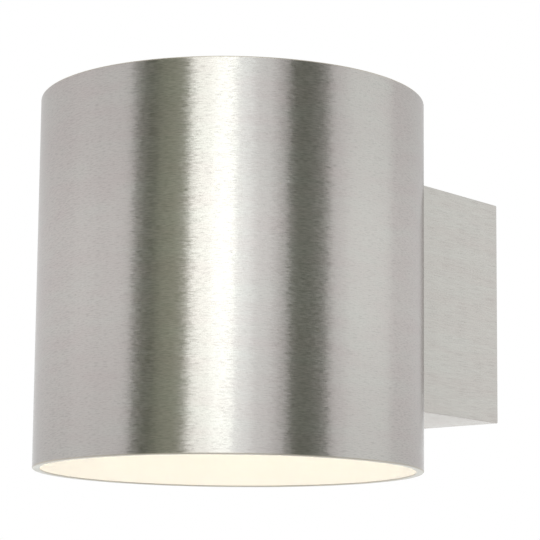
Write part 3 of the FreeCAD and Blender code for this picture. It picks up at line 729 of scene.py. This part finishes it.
# Each screw's seat is the middle of the underside of its head.
def makeScrews(lengths):
    m4, m3, m25 = screwKinds["m4"], screwKinds["m3"], screwKinds["m25"]
    sides = (-1, 1)
    fromWall, boxTop = boxShape["screwFromWall"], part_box("wall_box")[1].z
    boxSeats = [(Vector((0, -fromWall, boxTop * side)), up * -side) for side in sides]
    front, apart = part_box("tube_screws")[0].y + m4["height"], tubeShape["screwHeight"]
    tubeSeats = [(Vector((0, front, apart * side)), intoWall) for side in sides]
    low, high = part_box("holder_screws")
    front, apart = low.y + m3["height"], high.z - m3["head"]
    holderSeats = [(Vector((0, front, apart * side)), intoWall) for side in sides]
    low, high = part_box("block_screws")
    front, apart, level = low.y + m25["height"], high.x - m25["head"], (low.z + high.z) / 2
    blockSeats = [(Vector((apart * side, front, level)), intoWall) for side in sides]
    low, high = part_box("earth_screw")
    front, middle = low.y + m4["height"], (low + high) / 2
    earthSeats = [(Vector((middle.x, front, middle.z)), intoWall)]
    earthLength = high.y - low.y - m4["height"]
    for node, slotName, kind, length, seats in (
            ("box_screws", "plated_steel", m4, lengths["box_screws"], boxSeats),
            ("tube_screws", "plated_steel", m4, lengths["tube_screws"], tubeSeats),
            ("holder_screws", "plated_steel", m3, lengths["holder_screws"], holderSeats),
            ("block_screws", "plated_steel", m25, lengths["block_screws"], blockSeats),
            ("earth_screw", "brass_plated", m4, earthLength, earthSeats)):
        mesh = joined([screwMesh(seat, direction, kind, length) for seat, direction in seats])
        addPiece(node + ".threaded", mesh, [finishes[slotName]], "fitting", [node])


makeScrews(screwLengths)
print("screws made")


# The lamp: a capsule with a flat pinch, two foils in the pinch and a coiled filament.
# Roundness 2 is an ellipse, more is nearer to a rectangle. The inner sizes are the hollow's.

capsule = {
    "pinchLength": 9 * mm, "pinchHalfWidth": 6 * mm, "pinchHalfThickness": 2.3 * mm,
    "pinchWaist": 0.28, "pinchRoundness": 5.0, "bulbRoundness": 2.0, "footRound": 0.25 * mm,
    "shoulder": 5 * mm, "wall": 0.9 * mm, "domeLength": 6.4 * mm, "rows": 12, "steps": 64,
    "nibRadius": 1.0 * mm, "nibLength": 1.0 * mm,
    "nibRings": ((0.35, 0.85), (0.75, 0.8), (0.95, 0.5)),
    "innerTip": 0.3 * mm, "innerWidth": 0.62, "innerThickness": 0.5,
}


def smoothStep(share):
    return share * share * (3 - 2 * share)


def addCapsuleRing(form, y, halfX, halfZ, roundness, waist, steps):
    ring = []
    for i in range(steps):
        turn = 2 * math.pi * i / steps
        x = halfX * math.copysign(abs(math.cos(turn)) ** (2 / roundness), math.cos(turn))
        z = halfZ * math.copysign(abs(math.sin(turn)) ** (2 / roundness), math.sin(turn))
        z *= 1 - waist * (1 - (x / halfX) ** 2) ** 2
        ring.append(form.verts.new((x, y, z)))
    return ring


# The rings from the pinch to the tip. Without a foot they are the hollow's, which has no nib.
def capsuleRings(sizes, radius, pinchX, pinchZ, pinchEndY, tipY, footY=None):
    rings = []
    rows, waist = sizes["rows"], sizes["pinchWaist"]
    flat, full = sizes["pinchRoundness"], sizes["bulbRoundness"]
    domeY, dome, nibRadius = tipY + sizes["domeLength"], sizes["domeLength"], sizes["innerTip"]
    if footY is not None:
        ease = sizes["footRound"]
        rings.append((footY, pinchX - ease, pinchZ - ease, flat, waist))
        rings.append((footY - ease, pinchX, pinchZ, flat, waist))
        domeY, nibRadius = domeY + sizes["nibLength"], sizes["nibRadius"]
    for i in range(rows + 1):
        share = smoothStep(i / rows)
        rings.append((pinchEndY - sizes["shoulder"] * i / rows,
                      pinchX + (radius - pinchX) * share, pinchZ + (radius - pinchZ) * share,
                      flat - (flat - full) * share ** 0.5, waist * (1 - share) ** 2))
    for i in range(rows + 1):
        turn = math.pi / 2 * i / rows
        reach = nibRadius + (radius - nibRadius) * math.cos(turn)
        rings.append((domeY - dome * math.sin(turn), reach, reach, full, 0))
    if footY is not None:
        for along, share in sizes["nibRings"]:
            reach = nibRadius * share
            rings.append((domeY - dome - sizes["nibLength"] * along, reach, reach, full, 0))
    return rings


def makeCapsule(sizes):
    low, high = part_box("lamp_glass")
    radius, footY, tipY, wall = high.x, high.y, low.y, sizes["wall"]
    pinchEndY = footY - sizes["pinchLength"]
    pinchX, pinchZ = sizes["pinchHalfWidth"], sizes["pinchHalfThickness"]
    innerEndY, innerTipY = pinchEndY - wall, tipY + sizes["nibLength"] + wall
    form = bmesh.new()

    def addShell(rings, startY, endY):
        made = [addCapsuleRing(form, *ring, sizes["steps"]) for ring in rings]
        made = [[form.verts.new((0, startY, 0))]] + made + [[form.verts.new((0, endY, 0))]]
        faces = []
        for lower, upper in zip(made, made[1:]):
            faces += bridge(form, lower, upper)
        return faces

    outer = capsuleRings(sizes, radius, pinchX, pinchZ, pinchEndY, tipY, footY)
    addShell(outer, footY, tipY)
    inner = capsuleRings(sizes, radius - wall, pinchX * sizes["innerWidth"],
                         pinchZ * sizes["innerThickness"], innerEndY, innerTipY)
    hollow = addShell(inner, innerEndY, innerTipY)
    mesh = finishForm(form, "capsule", flipped=hollow)
    piece = addPiece("lampCapsule", mesh, [finishes["clear_glass"]], "lamp",
                     ["lamp_glass"])
    piece.visible_shadow = False       # the lamp's light passes its own glass


coil = {
    "legSpacing": 2.0 * mm, "wire": 0.16 * mm, "wireSides": 1, "pitch": 0.34 * mm,
    "stepsPerTurn": 12, "dip": 4.0 * mm,
}


def addWire(name, points, radius, sides, material, body, replaced):
    curve = bpy.data.curves.new(name, "CURVE")
    curve.dimensions = "3D"
    curve.bevel_depth = radius
    curve.bevel_resolution = sides
    curve.use_fill_caps = True
    spline = curve.splines.new("POLY")
    spline.points.add(len(points) - 1)
    for place, point in zip(spline.points, points):
        place.co = (*point, 1)
    curve.materials.append(material)
    settle(addObject(name, curve), body, replaced)


# The coil's middle line: four legs side by side, joined by half turns.
def filamentRoute(near, far, dip, spacing):
    half = spacing / 2
    legs = [(-1.5, near, far), (-0.5, far, dip), (0.5, dip, far), (1.5, far, near)]
    final = len(legs) - 1
    route = []
    for i, (place, start, end) in enumerate(legs):
        heading = 1 if end > start else -1
        x = place * spacing
        first = start if i == 0 else start + heading * half
        last = end if i == final else end - heading * half
        route.append(("leg", Vector((x, first, 0)), Vector((x, last, 0))))
        if i < final:
            route.append(("bend", Vector((x + half, last, 0)), heading))
    return route


def makeFilament(sizes):
    low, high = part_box("lamp_filament")
    coilRadius = high.z - sizes["wire"]
    near, far = high.y, low.y + coilRadius + sizes["wire"]
    step = sizes["pitch"] / sizes["stepsPerTurn"]
    half = sizes["legSpacing"] / 2
    bendSteps = int(math.pi * half / step)
    centres, sideways = [], []
    for kind, start, end in filamentRoute(near, far, near - sizes["dip"], sizes["legSpacing"]):
        if kind == "leg":
            length = (end - start).length
            heading = (end - start).normalized()
            for i in range(int(length / step)):
                centres.append(start + heading * i * step)
                sideways.append(Vector((heading.y, 0, 0)))
            continue
        for i in range(bendSteps):
            turn = math.pi * i / bendSteps
            outward = Vector((-math.cos(turn), end * math.sin(turn), 0))
            centres.append(start + outward * half)
            sideways.append(outward * -end)
    points = []
    for i, (centre, side) in enumerate(zip(centres, sideways)):
        turn = 2 * math.pi * i / sizes["stepsPerTurn"]
        points.append(centre + (side * math.cos(turn) + up * math.sin(turn)) * coilRadius)
    addWire("glowCoil", points, sizes["wire"] / 2, sizes["wireSides"],
            finishes["filament_wire"], "lamp", ["lamp_filament"])


foils = {
    "width": 2.0 * mm, "length": 6.0 * mm, "thickness": 0.05 * mm, "fromFoot": 1.6 * mm,
    "place": 3.2 * mm, "leadHalfWidth": 0.3 * mm, "leadHalfThickness": 0.2 * mm,
    "edge": 0.015 * mm, "edgeSteps": 1,
}


def makeFoils(sizes):
    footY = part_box("lamp_glass")[1].y
    leadY = footY - sizes["fromFoot"]
    blocks = (
        (sizes["width"] / 2, leadY - sizes["length"], leadY, sizes["thickness"] / 2),
        (sizes["leadHalfWidth"], leadY, footY, sizes["leadHalfThickness"]),
    )
    form = bmesh.new()
    for side in (-1, 1):
        x = sizes["place"] * side
        for halfX, startY, endY, halfZ in blocks:
            addBlock(form, (x - halfX, startY, -halfZ), (x + halfX, endY, halfZ))
    mesh = eased(finishForm(form, "foils"), sizes["edge"], sizes["edgeSteps"])
    addPiece("pinchFoils", mesh, [finishes["lamp_metal"]], "lamp")


makeCapsule(capsule)
makeFilament(coil)
makeFoils(foils)
print("lamp made")


# Camera, at the photograph's angle: below the tube and to its right

cameraPlace = {
    "turn": math.radians(41.031), "distance": 575 * mm, "belowRim": 48.69 * mm,
    "yaw": math.radians(-1.025), "pitch": math.radians(8.887), "roll": math.radians(0.555),
    "lens": 150.0, "sensor": 36.0, "shift": 0.08,
}


def makeCamera(place):
    turn, pitch, roll = place["turn"], place["pitch"], place["roll"]
    heading = turn + place["yaw"]
    spot = tubeAxis + Vector((math.sin(turn), -math.cos(turn), 0)) * place["distance"]
    spot.z = -tubeHalf - place["belowRim"]
    forward = Vector((-math.sin(heading) * math.cos(pitch),
                      math.cos(heading) * math.cos(pitch), math.sin(pitch)))
    level = Vector((math.cos(heading), math.sin(heading), 0))
    upright = level.cross(forward)
    side = level * math.cos(roll) + upright * math.sin(roll)
    top = upright * math.cos(roll) - level * math.sin(roll)
    data = bpy.data.cameras.new("camera")
    data.lens = place["lens"]
    data.sensor_width = place["sensor"]
    data.shift_y = place["shift"]
    camera = addObject("camera", data)
    facing = Matrix((side, top, -forward)).transposed().to_4x4()
    camera.matrix_world = Matrix.Translation(spot) @ facing
    bpy.context.scene.camera = camera


makeCamera(cameraPlace)


# Light: a white room, six soft boxes, and three screens that only reflections show.
# Directions are degrees round the tube from the camera's side, to the right in the picture.

def aroundTube(degrees, distance, height):
    turn = cameraPlace["turn"] + math.radians(degrees)
    return tubeAxis + Vector((math.sin(turn) * distance, -math.cos(turn) * distance, height))


# Seen is the brightness for the camera, reflections and glass, unseen for all other light.
def makeWorld(seen, unseen):
    world = bpy.data.worlds.new("studio")
    world.use_nodes = True
    tree = world.node_tree
    tree.nodes.clear()
    rays = addNode(tree, "ShaderNodeLightPath")
    white = addNode(tree, "ShaderNodeBackground", {"Color": (1, 1, 1, 1), "Strength": seen})
    plain = addNode(tree, "ShaderNodeBackground", {"Color": (1, 1, 1, 1), "Strength": unseen})
    mix = addNode(tree, "ShaderNodeMixShader")
    out = addNode(tree, "ShaderNodeOutputWorld")
    shown = addMath(tree, "MAXIMUM", rays.outputs["Is Camera Ray"], rays.outputs["Is Glossy Ray"])
    shown = addMath(tree, "MAXIMUM", shown, rays.outputs["Is Transmission Ray"])
    tree.links.new(shown, mix.inputs["Fac"])
    tree.links.new(plain.outputs[0], mix.inputs[1])
    tree.links.new(white.outputs[0], mix.inputs[2])
    tree.links.new(mix.outputs[0], out.inputs["Surface"])
    bpy.context.scene.world = world


def makeSoftBox(name, look):
    data = bpy.data.lights.new(name, "AREA")
    data.shape = "RECTANGLE"
    data.size, data.size_y = look["width"], look["height"]
    data.energy = look["brightness"] * math.pi * look["width"] * look["height"]
    data.color = look["colour"]
    lamp = addObject(name, data)
    lamp.location = aroundTube(look["direction"], look["distance"], look["above"])
    lamp.rotation_euler = (tubeAxis - lamp.location).to_track_quat("-Z", "Y").to_euler()
    lamp.visible_camera = False


def stageSheet(name, corners, material):
    form = bmesh.new()
    form.faces.new([form.verts.new(corner) for corner in corners])
    mesh = bpy.data.meshes.new(name)
    form.to_mesh(mesh)
    form.free()
    mesh.materials.append(material)
    sheet = addObject(name, mesh)
    return sheet


# A screen that stands on the floor, and an apron of the same cloth from its foot to the tube.
def makeScreen(name, look, sizes):
    cloth = mottled(name + "Cloth", {**sizes["cloth"], "colour": look["colour"]})
    start, end, near, far = look["from"], look["to"], sizes["near"], sizes["distance"]
    foot, top = floor["height"] + sizes["aboveFloor"], floor["height"] + sizes["height"]
    sheets = {
        name: [(start, far, foot), (end, far, foot), (end, far, top), (start, far, top)],
        name + "Apron": [(start, near, foot), (end, near, foot),
                         (end, far, foot), (start, far, foot)],
    }
    for sheetName, corners in sheets.items():
        sheet = stageSheet(sheetName, [aroundTube(*corner) for corner in corners], cloth)
        sheet.visible_camera = False
        sheet.visible_diffuse = False
        sheet.visible_shadow = False


# Pale paper from above, white in what metal and glass reflect. It is clear from below.
def floorPaper(look):
    material, tree, shader = startMaterial("floorPaper", {})
    cloud = addRange(tree, addEvenNoise(tree, look["cloud"]), 0, 1)
    tree.links.new(addBlend(tree, cloud, *look["colours"]), shader.inputs["Base Color"])
    tree.links.new(addRange(tree, cloud, *look["roughness"], 0, 1), shader.inputs["Roughness"])
    rays = addNode(tree, "ShaderNodeLightPath")
    white = addNode(tree, "ShaderNodeEmission", {"Color": (1, 1, 1, 1), "Strength": 1.0})
    side = addNode(tree, "ShaderNodeNewGeometry")
    clear = addNode(tree, "ShaderNodeBsdfTransparent")
    paper = addNode(tree, "ShaderNodeMixShader")
    mix = addNode(tree, "ShaderNodeMixShader")
    out = [node for node in tree.nodes if node.type == "OUTPUT_MATERIAL"][0]
    reflected = addMath(tree, "MAXIMUM", rays.outputs["Is Glossy Ray"],
                        rays.outputs["Is Transmission Ray"])
    tree.links.new(reflected, paper.inputs["Fac"])
    tree.links.new(shader.outputs[0], paper.inputs[1])
    tree.links.new(white.outputs[0], paper.inputs[2])
    tree.links.new(side.outputs["Backfacing"], mix.inputs["Fac"])
    tree.links.new(paper.outputs[0], mix.inputs[1])
    tree.links.new(clear.outputs[0], mix.inputs[2])
    tree.links.new(mix.outputs[0], out.inputs["Surface"])
    return material


def makeFloor(look):
    reach = look["reach"]
    corners = [(x * reach, y * reach, look["height"])
               for x, y in ((-1, -1), (1, -1), (1, 1), (-1, 1))]
    stageSheet("floor", corners, floorPaper(look))


def makeGlow(look):
    low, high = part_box("lamp_filament")
    data = bpy.data.lights.new("glow", "POINT")
    data.energy = look["power"]
    data.color = look["colour"]
    data.shadow_soft_size = high.x
    glow = addObject("glow", data)
    glow.location = (low + high) / 2
    glow.visible_camera = False


floor = {
    "height": -0.16, "reach": 6.0, "cloud": 3.0, "roughness": (0.8, 0.9),
    "colours": ((0.90, 0.90, 0.895), (0.93, 0.93, 0.925)),
}
softBoxes = {
    "frontBox": {"direction": -11.2, "distance": 1.4, "above": 0.25, "width": 0.63,
                 "height": 1.9, "brightness": 1.95, "colour": (0.93, 1.0, 0.92)},
    "sideBox": {"direction": 1, "distance": 1.42, "above": 0.25, "width": 0.56,
                "height": 1.9, "brightness": 0.75, "colour": (0.88, 1.0, 1.0)},
    "wideBox": {"direction": 12, "distance": 1.44, "above": 0.25, "width": 0.62,
                "height": 1.9, "brightness": 0.45, "colour": (0.90, 1.0, 1.0)},
    "rightBox": {"direction": 88, "distance": 1.5, "above": 0.25, "width": 1.0,
                 "height": 1.9, "brightness": 0.31, "colour": (0.80, 1.0, 0.92)},
    "leftBox": {"direction": -94, "distance": 1.5, "above": 0.05, "width": 0.5,
                "height": 0.5, "brightness": 0.10, "colour": (1.0, 1.0, 1.0)},
    "lowBox": {"direction": 180, "distance": 0.55, "above": -0.10, "width": 0.5,
               "height": 0.10, "brightness": 0.9, "colour": (0.90, 1.0, 1.0)},
}
screenShape = {
    "near": 0.07, "distance": 1.15, "height": 2.2, "aboveFloor": 1 * mm,
    "cloth": {"shade": 0.1, "roughness": (0.8, 0.9), "cloud": 5.0, "grain": 600.0,
              "relief": 0.1 * mm},
}
screens = {
    "leftScreen": {"from": -57.8, "to": -43, "colour": (0.135, 0.15, 0.10)},
    "greyScreen": {"from": -43, "to": -24.5, "colour": (0.42, 0.44, 0.34)},
    "rightScreen": {"from": 32.5, "to": 57.8, "colour": (0.19, 0.205, 0.165)},
}
lampGlow = {"power": 0.036, "colour": (1.0, 0.83, 0.60)}

makeWorld(seen=1.0, unseen=0.85)
for name, look in softBoxes.items():
    makeSoftBox(name, look)
for name, look in screens.items():
    makeScreen(name, look, screenShape)
makeFloor(floor)
makeGlow(lampGlow)
bpy.context.scene.view_settings.view_transform = "Standard"
print("stage and light made")
